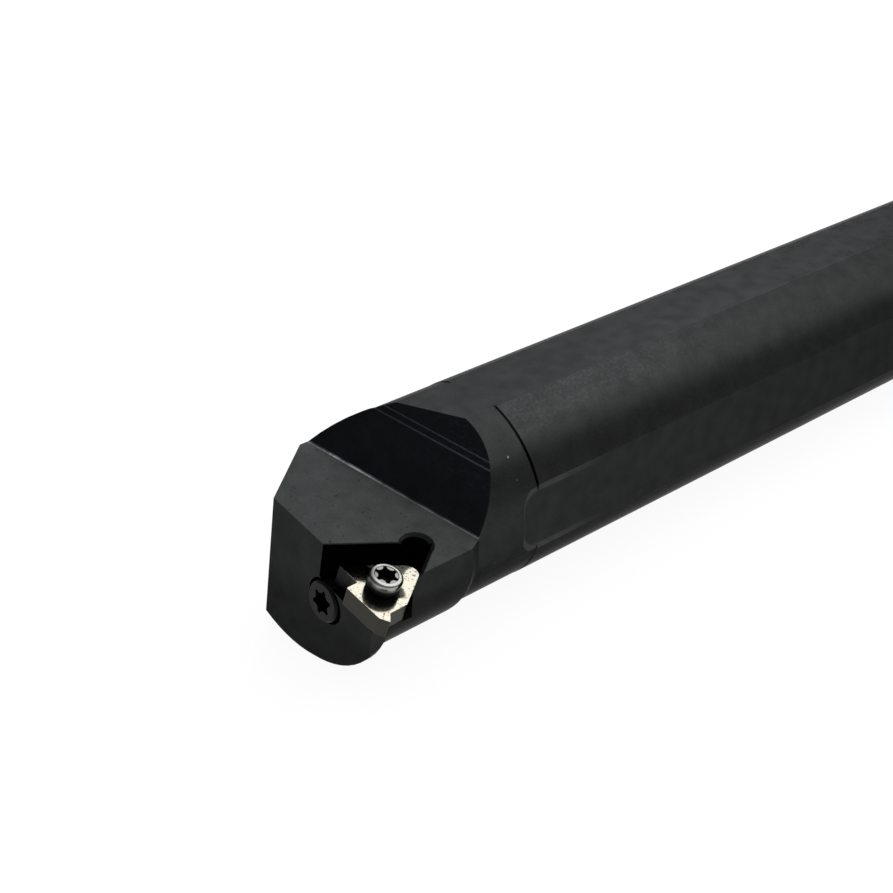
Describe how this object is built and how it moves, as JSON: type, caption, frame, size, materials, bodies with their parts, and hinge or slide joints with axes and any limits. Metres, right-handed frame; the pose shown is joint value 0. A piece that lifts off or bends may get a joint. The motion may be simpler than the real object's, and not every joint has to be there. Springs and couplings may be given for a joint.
{
  "type": "threading tool holder",
  "caption": "Round steel boring-bar holder with milled flats, a raked head and chip gullet, and a screwed-down insert for cutting threads inside a bore.",
  "frame": {"origin": "centre of the shank's flat rear face, on the axis of the shank", "axes": "+X along the shank's axis, out of the rear face and away from the head; +Z normal to the top flat, on the side of the gullet; the insert is on the -Y side at the front end"},
  "size_m": [0.2509, 0.0359, 0.0327],
  "materials": {
    "blackened_steel": "black oxide, satin",
    "coated_carbide": "polished top, pale gold, ground sides",
    "bright_steel": "bright, turned",
    "black_steel": "black oxide, smooth"
  },
  "bodies": {
    "root": {"holder": "blackened_steel", "threading_insert": "coated_carbide", "insert_screw": "bright_steel", "front_screw": "black_steel"}
  },
  "joints": []
}
